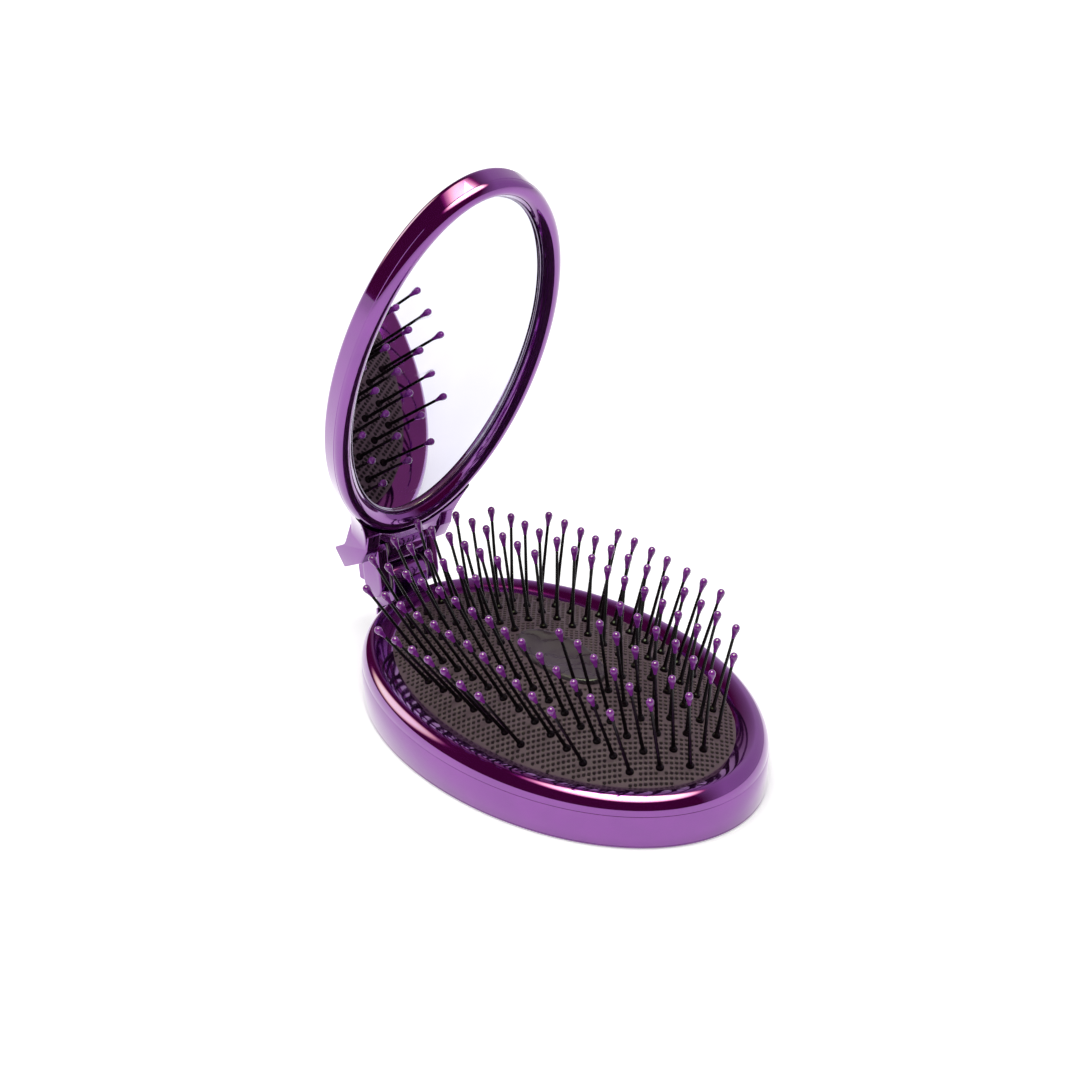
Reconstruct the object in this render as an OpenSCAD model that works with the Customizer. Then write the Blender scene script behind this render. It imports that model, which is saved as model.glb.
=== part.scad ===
// Folding hairbrush with a mirror: an oval brush half, and a mirror lid on a two-pin hinge.
// Origin: centre of the flat underside. +X runs away from the hinge, +Z up. Millimetres.

/* [Brush half] */
// Length of the oval brush half
base_len = 96; // [88:0.5:110]
// Width of the oval brush half
base_wid = 63.8; // [56:0.2:72]
// Height of the rounded rim above the table
rim_h = 9.5; // [8.8:0.1:12]
// Height at which the side wall turns into the rounded rim
crease_h = 7.1; // [6:0.1:7.8]
// Width of the rim, from the side wall in to the cushion
rim_w = 6.3; // [5.6:0.1:8]
// Thickness of the moulded shells
wall = 1.5; // [1.2:0.1:1.9]
// Thickness of the bottom plate
cover_t = 1.2; // [1:0.1:1.8]

/* [Cushion and bristles] */
// How far the cushion's crown stands above its edge
crown = 3.6; // [2:0.1:4]
// Thickness of the rubber cushion
cushion_t = 1.2; // [0.9:0.1:1.5]
// Length of a pin and its tip above the cushion
pin_len = 19.6; // [12:0.2:24]
// Diameter of a pin's shaft
pin_d = 0.8; // [0.6:0.05:1]
// Diameter of the ball that each pin grows out of
collar_d = 1.6; // [1.3:0.05:1.9]
// Diameter of a tip at its widest
tip_d = 1.55; // [1.2:0.05:1.9]
// Length of a tip
tip_len = 2.3; // [1.8:0.1:3]
// Distance between pins along a row
pin_pitch = 4.8; // [4.4:0.1:8]
// Bare width of the cushion outside the outermost rows
row_margin = 5.2; // [4:0.1:7]
// How many times the cushion's own slope along the brush the pins lean outwards
splay_along = 1.4; // [0:0.1:1.8]
// How many times the cushion's own slope across the brush the pins lean outwards
splay_across = 2.5; // [0:0.1:2.8]
// Slope by which the whole bed of pins leans towards the hinge
lean_back = 0.08; // [0:0.01:0.12]
// Slope by which the whole bed of pins leans towards the -Y side
lean_side = 0.14; // [0:0.01:0.2]
// Length of the smooth oval in the middle of the cushion
inlay_len = 26; // [16:0.5:32]
// Width of the smooth oval
inlay_wid = 13; // [9:0.5:16]

/* [Mirror lid] */
// Length of the oval lid
lid_len = 88.2; // [80:0.2:96]
// Width of the oval lid
lid_wid = 48.8; // [42:0.2:60]
// Thickness of the lid, from the front ring's crest to the back
lid_t = 6.6; // [5.8:0.1:8]
// Width of the ring round the mirror
ring_w = 3.8; // [3:0.1:5]
// Depth of the mirror behind the ring's crest
recess = 2.4; // [1.6:0.1:2.6]
// Thickness of the mirror glass
glass_t = 1.5; // [1:0.1:1.8]
// Width of the bright trim round the mirror
bezel_w = 0.7; // [0.4:0.05:1.2]

/* [Hinge] */
// How far the lid stands open in the stored position, from shut
open_angle = 70.2; // [55:0.1:85]
// Distance of the lower pin behind the end of the brush half
hinge_back = 4; // [3.9:0.1:6]
// Height of the lower pin
hinge_z = 10.8; // [9.8:0.1:12]
// Distance between the two pins
link_len = 7; // [6.9:0.1:10]
// Lean of the link, backwards from upright
link_lean = 8.1; // [0:0.1:15]
// Distance from the lid's oval to the upper pin
neck_len = 5.3; // [4.8:0.1:8]
// Radius of the knuckles
knuckle_r = 3.3; // [2.8:0.05:3.5]
// Width of the middle knuckles
knuckle_w = 8.3; // [7:0.1:12]
// Thickness of a link ear
ear_t = 2.4; // [2:0.1:3.4]
// Diameter of the hinge pins
hinge_pin_d = 1.6; // [1.2:0.1:2]
// Thickness of the friction washers
washer_t = 0.4; // [0.3:0.05:0.8]

/* [Hidden] */
$fn = 64;

run_gap = 0.05;   // running clearance of a pin in its knuckle, and of a washer on its face
fit_gap = 0.1;    // assembly clearance between moulded pieces
move_gap = 0.3;   // air between faces that pass each other
rows = 9;
oval_steps = 64;  // facets round an oval

base_a = base_len / 2;
base_b = base_wid / 2;
lid_a = lid_len / 2;
lid_b = lid_wid / 2;

// Brush half, from the rim in
rim_crest = rim_w * 0.42;            // inset of the rim's highest line
lip_t = 1.2;                         // thickness of the rim's inner lip
cushion_edge_z = rim_h - 1.45;       // where the cushion meets the rim's slope
lip_z = cushion_edge_z - lip_t;      // underside of the lip, on which the cushion's flange bears
flange_z = lip_z - cushion_t;        // underside of the flange
flange_in = wall + 1.4;              // inset of the flange's outer edge, under the lip
retainer_t = 1.3;
retainer_in = rim_w - 0.6;           // inset of the retainer's inner edge
backing_t = 0.6;
foot_t = 0.5;
foot_d = 2.2;

// Cushion dome
dome_a = base_a - rim_w;
dome_b = base_b - rim_w;
pin_margin = 2.6;                    // bare edge of the cushion outside the pins of a row
inlay_margin = 1;                    // bare edge round the smooth oval
row_pitch = 2 * (dome_b - row_margin) / (rows - 1);
inlay_rise = 0.3;
inlay_sink = 0.7;

// Hinge. Pins lie along Y
lower_x = -base_a - hinge_back;
upper_x = lower_x - link_len * sin(link_lean);
upper_z = hinge_z + link_len * cos(link_lean);
bore_d = hinge_pin_d + 2 * run_gap;
washer_d = 2 * knuckle_r - 1.2;
ear_r = knuckle_r - 0.2;
ear_in = knuckle_w / 2 + run_gap + washer_t;
ear_out = ear_in + ear_t;
cheek_in = ear_out + move_gap;
cheek_t = 3;
cheek_out = cheek_in + cheek_t;
cheek_bore = 1;                      // depth of the blind bore in a cheek
tail_w = 2 * (cheek_out + move_gap); // width of the brush half's hinge end
tail_h = 5;
notch = flange_in - 0.5;             // how deep the hinge end of the rim is cut flat
cover_lip = 1.4;                     // height of the bottom plate's inner lip

// Lid, drawn flat: origin at the middle of the ring's crest plane, +Z to the lid's back
upper_in_lid = [-lid_a - neck_len, 2.6];
neck_blend = 10;                     // how far up the oval the neck begins
neck_front = 0.3;
heel_tip = [-3.6, 6.6];              // from the upper pin to the two corners of a cheek's heel
heel_foot = [-5.5, 2.4];
lid_crease = 1.8;                    // where the ring meets the back shell
ring_crest = ring_w * 0.45;
glass_in = ring_w - 0.8;             // inset of the glass under the ring

// Points round an oval with half axes a and b, moved inwards by d everywhere
function oval_points(a, b, d = 0) =
    [for (i = [0:oval_steps - 1])
        let (t = 360 * i / oval_steps, normal = [b * cos(t), a * sin(t)])
        [a * cos(t), b * sin(t)] - d * normal / norm(normal)];

function signed_area(p) =
    let (n = len(p)) [for (i = 0, sum = 0; i < n; sum = sum + cross(p[i], p[(i + 1) % n]), i = i + 1) sum][n - 1]
    + cross(p[n - 1], p[0]);
function reversed(p) = [for (i = [len(p) - 1:-1:0]) p[i]];

// Sweeps a profile round the oval. Profile x is measured outwards from the oval, y is height
module oval_sweep(a, b, profile) {
    path = signed_area(profile) < 0 ? reversed(profile) : profile;
    m = len(path);
    n = oval_steps;
    loops = [for (p = path) oval_points(a, b, -p[0])];
    points = [for (i = [0:n - 1]) for (j = [0:m - 1]) [loops[j][i][0], loops[j][i][1], path[j][1]]];
    function at(i, j) = (i % n) * m + j % m;
    polyhedron(points, [for (i = [0:n - 1]) for (j = [0:m - 1]) each
        [[at(i, j), at(i, j + 1), at(i + 1, j + 1)], [at(i, j), at(i + 1, j + 1), at(i + 1, j)]]]);
}

// Flat oval plate between two heights
module oval_plate(a, b, z0, z1) {
    translate([0, 0, z0])
        linear_extrude(z1 - z0)
            polygon(oval_points(a, b));
}

// Solid skinned over a stack of rings of equal count, listed from the top down, with a centre at each end
module ring_stack(top, rings, bottom) {
    n = len(rings[0]);
    m = len(rings);
    points = concat([top], [for (ring = rings) each ring], [bottom]);
    function at(k, i) = 1 + k * n + i % n;
    faces = concat(
        [for (i = [0:n - 1]) [0, at(0, i + 1), at(0, i)]],
        [for (k = [0:m - 2]) for (i = [0:n - 1]) each
            [[at(k, i), at(k, i + 1), at(k + 1, i)],
             [at(k, i + 1), at(k + 1, i + 1), at(k + 1, i)]]],
        [for (i = [0:n - 1]) [at(m - 1, i), at(m - 1, i + 1), 1 + m * n]]);
    polyhedron(points, faces);
}

// Points of an arc from angle t0 to t1
function arc(cx, cy, rx, ry, t0, t1, n) =
    [for (i = [0:n]) let (t = t0 + (t1 - t0) * i / n) [cx + rx * cos(t), cy + ry * sin(t)]];

function dome_z(x, y) =
    cushion_edge_z + crown * max(0, 1 - pow(x / dome_a, 2) - pow(y / dome_b, 2));

// Ring of the dome at a share of the way from its middle to the oval's inset d, moved down by drop
function dome_ring(d, share, drop) =
    [for (p = oval_points(base_a, base_b, d))
        [p[0] * share, p[1] * share, dome_z(p[0] * share, p[1] * share) - drop]];
function flat_ring(d, z) = [for (p = oval_points(base_a, base_b, d)) [p[0], p[1], z]];
function dome_rings(d, count, drop) = [for (k = [1:count]) dome_ring(d, k / count, drop)];

module along_y(x, z, d, y0, y1) {
    translate([x, y0, z])
        rotate([-90, 0, 0])
            cylinder(d = d, h = y1 - y0);
}

// Both sides of the hinge: the children and their mirror image
module both_sides() {
    children();
    mirror([0, 1, 0]) children();
}

// ---- Brush half ----

module base_shell() {
    rim = concat(
        [[-0.1, cover_t], [0, cover_t + 0.1], [0, crease_h]],
        arc(-rim_crest, crease_h, rim_crest - 0.15, rim_h - crease_h, 0, 90, 6),
        [[-rim_crest - 1.4, rim_h - 0.25],
         [-rim_w, cushion_edge_z],
         [-rim_w, lip_z],
         [-wall - 1.2, lip_z],
         [-wall, lip_z - 1.2],
         [-wall, cover_t]]);
    color("#7b2f8f")
        difference() {
            union() {
                difference() {
                    oval_sweep(base_a, base_b, rim);
                    translate([-base_a - 1, -tail_w / 2, tail_h])
                        cube([notch + 1, tail_w, rim_h]);
                }
                translate([-base_a + notch - 0.15, -tail_w / 2, tail_h - 0.5])
                    cube([0.5, tail_w, rim_h - tail_h]);
                base_tail();
                along_y(lower_x, hinge_z, 2 * knuckle_r, -knuckle_w / 2, knuckle_w / 2);
            }
            along_y(lower_x, hinge_z, bore_d, -knuckle_w, knuckle_w);
        }
}

// Tongue behind the oval that carries the lower knuckle
module base_tail() {
    root = -base_a + wall + 1;
    tip = lower_x - knuckle_r;
    difference() {
        translate([0, 0, cover_t])
            linear_extrude(tail_h - cover_t)
                polygon(concat(
                    [[root, tail_w / 2], [-base_a + 0.8, tail_w / 2]],
                    arc(-base_a - 1.2, knuckle_w / 2 + 2.4, 2, 2.4, 0, -90, 5),
                    [[tip, knuckle_w / 2], [tip, -knuckle_w / 2]],
                    arc(-base_a - 1.2, -knuckle_w / 2 - 2.4, 2, 2.4, 90, 0, 5),
                    [[-base_a + 0.8, -tail_w / 2], [root, -tail_w / 2]]));
        linear_extrude(cover_t + cover_lip + fit_gap)
            polygon(oval_points(base_a, base_b, wall - fit_gap));
    }
    translate([tip, -knuckle_w / 2, tail_h - 0.5])
        cube([2 * knuckle_r, knuckle_w, hinge_z - tail_h + 0.5]);
}

module base_cover() {
    color("#6d2a80") {
        oval_plate(base_a - 0.15, base_b - 0.15, 0, cover_t);
        oval_sweep(base_a, base_b,
            [[-wall - fit_gap - 1.1, cover_t - 0.2], [-wall - fit_gap, cover_t - 0.2],
             [-wall - fit_gap, cover_t + cover_lip], [-wall - fit_gap - 1.1, cover_t + cover_lip]]);
    }
}

module cushion_retainer() {
    outer = -wall - fit_gap - 1.2;
    color("#2b2530")
        oval_sweep(base_a, base_b,
            [[outer, cover_t], [outer, flange_z], [-retainer_in - 1.6, flange_z],
             [-retainer_in - 1.6, flange_z - retainer_t], [outer - 1.3, flange_z - retainer_t],
             [outer - 1.3, cover_t]]);
}

// Domed sheet with a flange that the rim's lip and the retainer hold between them
module cushion_pad() {
    edge = rim_w + fit_gap;
    body_t = lip_t + cushion_t;
    color("#40353c")
        ring_stack([0, 0, dome_z(0, 0)],
            concat(dome_rings(edge, 7, 0),
                [flat_ring(edge, lip_z), flat_ring(flange_in, lip_z), flat_ring(flange_in, flange_z)],
                reversed(dome_rings(edge, 5, body_t))),
            [0, 0, dome_z(0, 0) - body_t]);
}

// Sheet under the cushion that the feet of the pins bear on
module cushion_backing() {
    inset = retainer_in + 3;
    top = lip_t + cushion_t + fit_gap;
    color("#221d21")
        ring_stack([0, 0, dome_z(0, 0) - top],
            concat(dome_rings(inset, 5, top), reversed(dome_rings(inset, 5, top + backing_t))),
            [0, 0, dome_z(0, 0) - top - backing_t]);
}

module cushion_inlay() {
    a = inlay_len / 2;
    b = inlay_wid / 2;
    top = dome_z(0, 0) + inlay_rise;
    color("#4a3f46")
        oval_plate(a, b, top - inlay_rise - inlay_sink, top);
}

// ---- Bristles ----

// Rows run along X. Every second row is set half a pitch on, and the pins leave the oval bare
row_y = [for (j = [0:rows - 1]) (j - (rows - 1) / 2) * row_pitch];
function row_xs(j) =
    let (stagger = (j % 2) * pin_pitch / 2, y = row_y[j], last = ceil(dome_a / pin_pitch),
         a = dome_a - pin_margin, b = dome_b - pin_margin,
         bare_a = inlay_len / 2 + inlay_margin, bare_b = inlay_wid / 2 + inlay_margin)
    [for (k = [-last:last])
        let (x = k * pin_pitch + stagger)
        if (pow(x / a, 2) + pow(y / b, 2) <= 1 && pow(x / bare_a, 2) + pow(y / bare_b, 2) > 1) x];

// Places the children at each pin of a row, fanned outwards from the middle of the cushion
module at_pins(j) {
    for (x = row_xs(j)) {
        y = row_y[j];
        slope_x = 2 * crown * x / pow(dome_a, 2) * splay_along - lean_back;
        slope_y = 2 * crown * y / pow(dome_b, 2) * splay_across - lean_side;
        translate([x, y, dome_z(x, y)])
            rotate([0, atan(norm([slope_x, slope_y])), atan2(slope_y, slope_x)])
                children();
    }
}

module pin_row(j) {
    deep = cushion_t + lip_t + backing_t;
    shaft_top = pin_len - tip_len;
    color("#1b1518")
        at_pins(j)
            rotate_extrude($fn = 16)
                polygon(concat(
                    [[0, -deep - foot_t], [foot_d / 2, -deep - foot_t], [foot_d / 2, -deep],
                     [pin_d / 2, -deep], [pin_d / 2, -collar_d * 0.3]],
                    arc(0, collar_d * 0.1, collar_d / 2, collar_d / 2, -52, 60, 5),
                    [[pin_d / 2, shaft_top], [0, shaft_top]]));
}

module tip_row(j) {
    color("#8e3aa5")
        at_pins(j)
            translate([0, 0, pin_len - tip_len])
                rotate_extrude($fn = 16)
                    polygon(concat(
                        [[0, 0], [pin_d / 2, 0], [pin_d / 2 + 0.05, tip_len * 0.2]],
                        arc(0, tip_len - tip_d / 2, tip_d / 2, tip_d / 2, -20, 90, 7)));
}

// ---- Hinge ----

module hinge_link() {
    color("#84389a")
        difference() {
            union() {
                both_sides()
                    link_ear();
                translate([lower_x, 0, hinge_z])
                    rotate([0, -link_lean, 0])
                        translate([-knuckle_r - move_gap - 0.9, -ear_in - 0.5, 0])
                            cube([0.9, 2 * ear_in + 1, link_len - knuckle_r - move_gap]);
            }
            along_y(lower_x, hinge_z, hinge_pin_d, -ear_out - 1, ear_out + 1);
            along_y(upper_x, upper_z, hinge_pin_d, -ear_out - 1, ear_out + 1);
        }
}

module link_ear() {
    along_y(lower_x, hinge_z, 2 * ear_r, ear_in, ear_out);
    along_y(upper_x, upper_z, 2 * ear_r, ear_in, ear_out);
    translate([lower_x, ear_in, hinge_z])
        rotate([0, -link_lean, 0]) {
            translate([-ear_r + 0.12, 0, 0])
                cube([2 * ear_r - 0.24, ear_t, link_len]);
            translate([-knuckle_r - move_gap - 0.9, 0, 0])
                cube([knuckle_r, ear_t, link_len - knuckle_r - move_gap]);
        }
}

module base_hinge_pin() {
    color("#c9cacf")
        along_y(lower_x, hinge_z, hinge_pin_d, -ear_out, ear_out);
}

module lid_hinge_pin() {
    reach = cheek_in + cheek_bore - 0.1;
    color("#c9cacf")
        along_y(upper_x, upper_z, hinge_pin_d, -reach, reach);
}

module washer(x, z) {
    difference() {
        along_y(x, z, washer_d, ear_in - washer_t, ear_in);
        along_y(x, z, bore_d, 0, ear_out);
    }
}

module base_hinge_washers() {
    color("#e8e6e2")
        both_sides() washer(lower_x, hinge_z);
}

module lid_hinge_washers() {
    color("#e8e6e2")
        both_sides() washer(upper_x, upper_z);
}

// ---- Mirror lid ----

// Carries a lid drawn flat to its place on the upper pin
module on_lid() {
    translate([upper_x, 0, upper_z])
        rotate([0, -open_angle, 0])
            translate([-upper_in_lid[0], 0, -upper_in_lid[1]])
                children();
}

module lid_shell() {
    skin = concat(
        [[-wall, lid_crease], [0, lid_crease], [0, lid_t - 2]],
        arc(-1.6, lid_t - 2, 1.6, 1.3, 15, 90, 4),
        [[-7, lid_t], [-7, lid_t - wall], [-3, lid_t - wall - 0.2], [-wall, lid_t - wall - 1.4]]);
    color("#7b2f8f")
        on_lid()
            difference() {
                union() {
                    oval_sweep(lid_a, lid_b, skin);
                    translate([0, 0, lid_t - wall])
                        linear_extrude(wall)
                            polygon(oval_points(lid_a, lid_b, 6));
                    lid_neck();
                    along_y(upper_in_lid[0], upper_in_lid[1], 2 * knuckle_r, -knuckle_w / 2, knuckle_w / 2);
                    both_sides() lid_cheek();
                }
                along_y(upper_in_lid[0], upper_in_lid[1], bore_d,
                    -cheek_in - cheek_bore, cheek_in + cheek_bore);
            }
}

// Shoulder between the oval and the knuckle, with room for the link's ears
module lid_neck() {
    root = -lid_a + neck_blend;
    root_w = lid_b * sqrt(1 - pow(root / lid_a, 2)) - 0.4;
    stop = upper_in_lid[0] + knuckle_r + move_gap;
    function side_y(t) = cheek_out + (root_w - cheek_out) * pow(1 - t, 1.6);
    difference() {
        translate([0, 0, neck_front])
            linear_extrude(lid_t - 0.5 - neck_front)
                polygon(concat(
                    [for (i = [0:6]) [root + (stop - root) * i / 6, side_y(i / 6)]],
                    [for (i = [6:-1:0]) [root + (stop - root) * i / 6, -side_y(i / 6)]]));
        oval_plate(lid_a + fit_gap, lid_b + fit_gap, -1, lid_crease + 0.2);
        oval_plate(lid_a - 1.2, lid_b - 1.2, 0, lid_t - wall - 1.4);
        oval_plate(lid_a - 3, lid_b - 3, 1, lid_t - wall);
    }
    translate([upper_in_lid[0], -knuckle_w / 2, upper_in_lid[1] - 1.2])
        cube([neck_len - 0.2, knuckle_w, 3.6]);
}

// Cheek beside an ear, with the heel that stands out behind
module lid_cheek() {
    x = upper_in_lid[0];
    z = upper_in_lid[1];
    translate([0, cheek_in, 0])
        rotate([90, 0, 0])
            translate([0, 0, -cheek_t])
                linear_extrude(cheek_t)
                    polygon(concat(
                        [[-lid_a + 1.8, lid_t - 0.1], [-lid_a + 1.8, 0.2], [x + 3.9, -0.3], [x - 0.3, z - 2.1],
                         [x, z] + heel_foot, [x, z] + heel_tip],
                        [[x - 1.2, z + 5.2], [x + 1.5, z + 4.4], [x + 4.4, lid_t - 0.1]]));
}

module lid_ring() {
    front = concat(
        arc(-ring_crest, lid_crease, ring_crest, lid_crease, 360, 270, 6),
        [[-ring_crest - 0.8, 0.12],
         [-ring_w + 0.2, recess * 0.42],
         [-ring_w, recess * 0.6],
         [-ring_w, recess],
         [-wall - fit_gap, recess],
         [-wall - fit_gap, lid_crease]]);
    color("#84389a")
        on_lid()
            oval_sweep(lid_a, lid_b, front);
}

module mirror_bezel() {
    color("#c4c6cc")
        on_lid()
            oval_sweep(lid_a, lid_b,
                [[-ring_w - bezel_w, recess], [-ring_w, recess],
                 [-ring_w, recess - 0.5], [-ring_w - bezel_w, recess - 0.2]]);
}

module mirror_glass() {
    color("#dfe3f2")
        on_lid()
            oval_plate(lid_a - glass_in, lid_b - glass_in, recess, recess + glass_t);
}

module mirror_backing() {
    inset = glass_in + 1.5;
    color("#d8d2c4")
        on_lid()
            oval_plate(lid_a - inset, lid_b - inset, recess + glass_t, lid_t - wall - 0.2);
}

base_shell();
base_cover();
cushion_retainer();
cushion_pad();
cushion_backing();
cushion_inlay();
pin_row(0);  // pin_row_1
pin_row(1);  // pin_row_2
pin_row(2);  // pin_row_3
pin_row(3);  // pin_row_4
pin_row(4);  // pin_row_5
pin_row(5);  // pin_row_6
pin_row(6);  // pin_row_7
pin_row(7);  // pin_row_8
pin_row(8);  // pin_row_9
tip_row(0);  // tip_row_1
tip_row(1);  // tip_row_2
tip_row(2);  // tip_row_3
tip_row(3);  // tip_row_4
tip_row(4);  // tip_row_5
tip_row(5);  // tip_row_6
tip_row(6);  // tip_row_7
tip_row(7);  // tip_row_8
tip_row(8);  // tip_row_9
hinge_link();
base_hinge_pin();
lid_hinge_pin();
base_hinge_washers();
lid_hinge_washers();
lid_shell();
lid_ring();
mirror_bezel();
mirror_glass();
mirror_backing();
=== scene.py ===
"""Folding hairbrush with a mirror lid: an oval cushioned half, and an oval mirror on a two-pin hinge."""
import math
import random

import bmesh
import bpy
from mathutils import Matrix, Vector


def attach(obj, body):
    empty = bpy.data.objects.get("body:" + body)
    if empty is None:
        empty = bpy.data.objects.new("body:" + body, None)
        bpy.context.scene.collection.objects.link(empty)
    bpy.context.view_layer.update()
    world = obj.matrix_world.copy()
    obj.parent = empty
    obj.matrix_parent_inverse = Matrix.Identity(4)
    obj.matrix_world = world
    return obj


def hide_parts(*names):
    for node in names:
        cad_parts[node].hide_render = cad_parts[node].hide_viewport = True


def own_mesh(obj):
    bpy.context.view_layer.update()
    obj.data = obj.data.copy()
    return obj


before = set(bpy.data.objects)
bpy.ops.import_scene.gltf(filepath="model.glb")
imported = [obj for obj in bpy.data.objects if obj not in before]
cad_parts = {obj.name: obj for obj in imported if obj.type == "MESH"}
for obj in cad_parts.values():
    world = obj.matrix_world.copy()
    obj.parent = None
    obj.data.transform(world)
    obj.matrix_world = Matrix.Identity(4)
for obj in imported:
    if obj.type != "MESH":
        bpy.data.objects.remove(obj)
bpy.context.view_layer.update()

# ---- Camera ----
# Stands where the photographer's camera stood: in front of the free end, to one side,
# looking down at the brush.
photo_width = 1080
focal_length = 3530.25               # in the photograph's pixels
view_azimuth = math.radians(52.6)
view_elevation = math.radians(28.23)
view_roll = math.radians(-0.11)
view_distance = 0.66445
view_centre = Vector((0, 0, 0.02087))
view_shift = (-0.003944, 0.01721)    # to the right and up, in metres at the object

away = Vector((math.sin(view_azimuth) * math.cos(view_elevation),
               -math.cos(view_azimuth) * math.cos(view_elevation), math.sin(view_elevation)))
level = Vector((math.cos(view_azimuth), math.sin(view_azimuth), 0))
upright = away.cross(level)
right = level * math.cos(view_roll) + upright * math.sin(view_roll)
up = upright * math.cos(view_roll) - level * math.sin(view_roll)
camera_data = bpy.data.cameras.new("camera")
camera_data.sensor_fit = "HORIZONTAL"
camera_data.sensor_width = 36
camera_data.lens = camera_data.sensor_width * focal_length / photo_width
camera_data.clip_start = 0.01
camera = bpy.data.objects.new("camera", camera_data)
camera.matrix_world = (
    Matrix.Translation(view_centre + right * view_shift[0] + up * view_shift[1] + away * view_distance)
    @ Matrix((right, up, away)).transposed().to_4x4())
bpy.context.scene.collection.objects.link(camera)
bpy.context.scene.camera = camera

# ---- Floor and studio light ----
# A white table that runs on out of sight, under a wide soft box above and two weaker ones at the sides.
# The table lifts to plain white for the camera and in reflections, and keeps the shadow under the brush.
# What shines also mirrors the room: dark on the photographer's side, paler on the far side, with bright
# panels overhead and to the left.
floor_size = 6.0
floor_lift = 0.4
sky_light = 0.46
dark_room, far_wall = (0.12, 0.004, 0.05, 1), (0.62, 0.5, 0.66, 1)
twice_mirrored = (0.42, 0.2, 0.28, 1)    # the room, where one shiny thing shows another
panels = (((0.1, -0.1, 0.99), 0.83, 0.95, 12.0),        # direction, cosine where the edge begins,
          ((-0.85, -0.35, 0.39), 0.93, 0.985, 5.0))     # cosine where it is full, brightness


def linear(hex_colour):
    """Linear colour of a six-digit screen colour."""
    channels = [int(hex_colour[i:i + 2], 16) / 255 for i in (0, 2, 4)]
    return [c / 12.92 if c <= 0.04045 else ((c + 0.055) / 1.055) ** 2.4 for c in channels] + [1.0]


def new_material(name):
    """A node material, and its tree with the shader in it."""
    material = bpy.data.materials.new(name)
    material.use_nodes = True
    return material, material.node_tree, material.node_tree.nodes["Principled BSDF"]


def add_node(tree, kind, inputs=None, **settings):
    """A node with its settings, and its inputs set by name or number, to a value or linked from a socket."""
    node = tree.nodes.new(kind)
    for key, value in settings.items():
        setattr(node, key, value)
    for key, value in (inputs or {}).items():
        if isinstance(value, bpy.types.NodeSocket):
            tree.links.new(value, node.inputs[key])
        else:
            node.inputs[key].default_value = value
    return node


def seen_directly(tree):
    """1 for camera rays and for rays in reflections and through glass, 0 for light that falls on things."""
    path = add_node(tree, "ShaderNodeLightPath")
    first = add_node(tree, "ShaderNodeMath",
                     {0: path.outputs["Is Camera Ray"], 1: path.outputs["Is Glossy Ray"]},
                     operation="MAXIMUM")
    return add_node(tree, "ShaderNodeMath", {0: first.outputs[0], 1: path.outputs["Is Transmission Ray"]},
                    operation="MAXIMUM").outputs[0]


floor_material, tree, shader = new_material("white_table")
shader.inputs["Base Color"].default_value = linear("F4F4F5")
shader.inputs["Roughness"].default_value = 0.9
shader.inputs["Emission Color"].default_value = linear("FFFFFF")
lift = add_node(tree, "ShaderNodeMath", {0: seen_directly(tree), 1: floor_lift}, operation="MULTIPLY")
tree.links.new(lift.outputs[0], shader.inputs["Emission Strength"])
half = floor_size / 2
floor_mesh = bpy.data.meshes.new("table")
floor_mesh.from_pydata([(-half, -half, 0), (half, -half, 0), (half, half, 0), (-half, half, 0)],
                       [], [(0, 1, 2, 3)])
floor_mesh.materials.append(floor_material)
table = bpy.data.objects.new("table", floor_mesh)
table.location.z = -0.0001
bpy.context.scene.collection.objects.link(table)

world = bpy.data.worlds.new("studio")
bpy.context.scene.world = world
world.use_nodes = True
tree = world.node_tree
room = tree.nodes["Background"]
direction = add_node(tree, "ShaderNodeTexCoord").outputs["Generated"]
height = add_node(tree, "ShaderNodeSeparateXYZ", {0: direction})
farther = add_node(tree, "ShaderNodeMapRange",
                   {"Value": height.outputs["Y"], "From Min": 0.2, "From Max": 0.6})
mirrored = add_node(tree, "ShaderNodeMix", {0: farther.outputs[0], 6: dark_room, 7: far_wall},
                    data_type="RGBA").outputs[2]
for toward, start, end, bright in panels:
    facing = add_node(tree, "ShaderNodeVectorMath", {0: direction, 1: toward}, operation="DOT_PRODUCT")
    inside = add_node(tree, "ShaderNodeMapRange",
                      {"Value": facing.outputs["Value"], "From Min": start, "From Max": end})
    panel = add_node(tree, "ShaderNodeValToRGB", {0: inside.outputs[0]})
    panel.color_ramp.elements[0].color = (0, 0, 0, 1)
    panel.color_ramp.elements[1].color = (0.6, 0.84, 0.42, 1)
    panel.color_ramp.elements.new(0.2).color = (0.06, 0.006, 0.03, 1)
    panel.color_ramp.elements.new(0.4).color = (0.2, 0.14, 0.1, 1)
    panel.color_ramp.elements.new(0.6).color = (0.42, 0.44, 0.2, 1)
    scaled = add_node(tree, "ShaderNodeVectorMath", {0: panel.outputs[0], "Scale": bright}, operation="SCALE")
    mirrored = add_node(tree, "ShaderNodeVectorMath", {0: mirrored, 1: scaled.outputs[0]},
                        operation="MAXIMUM").outputs[0]
lighting = add_node(tree, "ShaderNodeMapRange",
                    {"Value": seen_directly(tree), "To Min": sky_light, "To Max": 1.0})
path = add_node(tree, "ShaderNodeLightPath")
repeated = add_node(tree, "ShaderNodeMath", {0: path.outputs["Glossy Depth"], 1: 1.5},
                    operation="GREATER_THAN")
mirrored = add_node(tree, "ShaderNodeMix", {0: repeated.outputs[0], 6: mirrored, 7: twice_mirrored},
                    data_type="RGBA").outputs[2]
shown = add_node(tree, "ShaderNodeMix",
                 {0: path.outputs["Is Glossy Ray"], 6: lighting.outputs[0], 7: mirrored}, data_type="RGBA")
tree.links.new(shown.outputs[2], room.inputs["Color"])

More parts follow.
